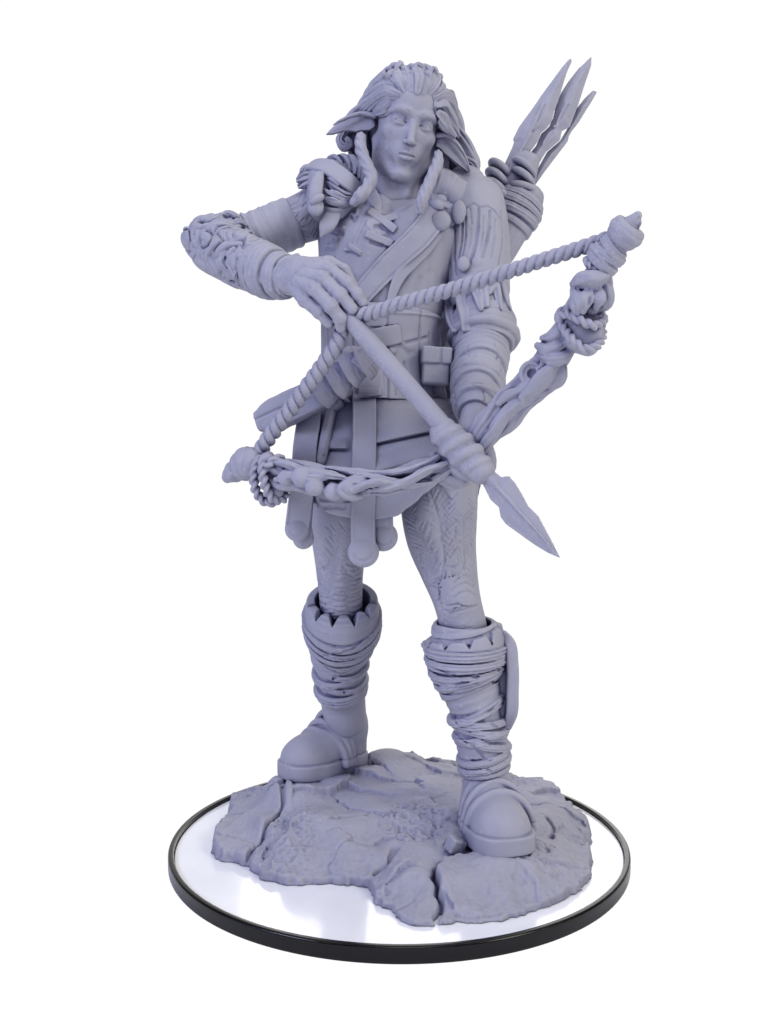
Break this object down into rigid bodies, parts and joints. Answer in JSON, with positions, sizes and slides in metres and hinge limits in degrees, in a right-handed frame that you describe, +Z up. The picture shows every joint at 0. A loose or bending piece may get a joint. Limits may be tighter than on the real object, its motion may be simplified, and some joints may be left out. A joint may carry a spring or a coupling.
{
  "type": "tabletop miniature figure",
  "caption": "Unpainted plastic fantasy archer miniature drawing a gnarled longbow, on a rocky mound fixed to a round black-rimmed display base.",
  "frame": {"origin": "centre of the round base's underside", "axes": "+Z up out of the base; -Y is the way the figure's chest and feet face; +X is the figure's own left, the bow-arm side"},
  "size_m": [0.05, 0.0514, 0.0914],
  "materials": {
    "miniature_plastic": "matt lavender-grey moulded plastic",
    "base_black": "glossy black",
    "base_clear_white": "smooth glossy near-white"
  },
  "bodies": {
    "root": {"arrow_head": "miniature_plastic", "arrow_shaft": "miniature_plastic", "base_disc": "base_clear_white", "base_rim": "base_black", "belt_pouch": "miniature_plastic", "belt_pouch_rear": "miniature_plastic", "bow_lower_lashing": "miniature_plastic", "bow_stave": "miniature_plastic", "bow_upper_lashing": "miniature_plastic", "bow_upper_tip_lashing": "miniature_plastic", "bowstring": "miniature_plastic", "chest_strap": "miniature_plastic", "dagger": "miniature_plastic", "dagger_scabbard": "miniature_plastic", "front_tab": "miniature_plastic", "front_tab_under": "miniature_plastic", "hair": "miniature_plastic", "head": "miniature_plastic", "hip_tab": "miniature_plastic", "left_boot": "miniature_plastic", "left_elbow_cuff": "miniature_plastic", "left_forearm": "miniature_plastic", "left_front_braid": "miniature_plastic", "left_hand": "miniature_plastic", "left_leg": "miniature_plastic", "left_leg_wrap": "miniature_plastic", "left_mantle": "miniature_plastic", "left_shin_guard": "miniature_plastic", "left_upper_arm": "miniature_plastic", "mantle_beads": "miniature_plastic", "quiver": "miniature_plastic", "quiver_binding": "miniature_plastic", "quiver_blade_1": "miniature_plastic", "quiver_blade_2": "miniature_plastic", "quiver_blade_3": "miniature_plastic", "quiver_strap": "miniature_plastic", "right_arm_band": "miniature_plastic", "right_boot": "miniature_plastic", "right_bracer": "miniature_plastic", "right_cuff": "miniature_plastic", "right_front_braid": "miniature_plastic", "right_hand": "miniature_plastic", "right_leg": "miniature_plastic", "right_leg_wrap": "miniature_plastic", "right_pauldron": "miniature_plastic", "right_upper_arm": "miniature_plastic", "rock_terrain": "miniature_plastic", "side_tab": "miniature_plastic", "side_tab_rear": "miniature_plastic", "skirt_cloth": "miniature_plastic", "torso_tunic": "miniature_plastic", "waist_belt": "miniature_plastic"}
  },
  "joints": []
}
